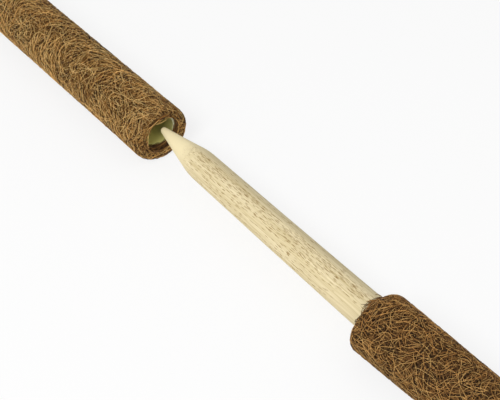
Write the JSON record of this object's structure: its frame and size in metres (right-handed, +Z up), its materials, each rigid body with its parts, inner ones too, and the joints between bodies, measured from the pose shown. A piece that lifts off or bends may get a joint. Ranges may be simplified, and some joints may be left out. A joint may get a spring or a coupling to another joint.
{
  "type": "moss pole",
  "caption": "Plug-together plant support pole of coir-wrapped plastic core tubes, each with a pointed wooden stake that slides into the next one's open socket.",
  "frame": {"origin": "middle of the pole's length and width, on the surface that it lies on", "axes": "+X along the pole from the lower section's pointed tip to the upper section's open socket, +Z up, +Y completes the frame"},
  "size_m": [0.999, 0.0356, 0.0357],
  "materials": {
    "coir": "rough curled fibre",
    "stake_wood": "bare planed hardwood",
    "core_plastic": "semi-gloss extruded plastic",
    "tack_steel": "plain wire steel"
  },
  "bodies": {
    "lower_section": {"lower_stake": "stake_wood", "lower_core_tube": "core_plastic", "lower_coir_wrap": "coir", "lower_stake_tack_1": "tack_steel", "lower_stake_tack_2": "tack_steel"},
    "upper_section": {"upper_stake": "stake_wood", "upper_core_tube": "core_plastic", "upper_coir_wrap": "coir", "upper_stake_tack_1": "tack_steel", "upper_stake_tack_2": "tack_steel"}
  },
  "joints": [
    {"name": "socket_slide", "type": "slide", "parent": "lower_section", "child": "upper_section", "axis": [-1, 0, 0], "range_m": [0, 0.1785]}
  ]
}
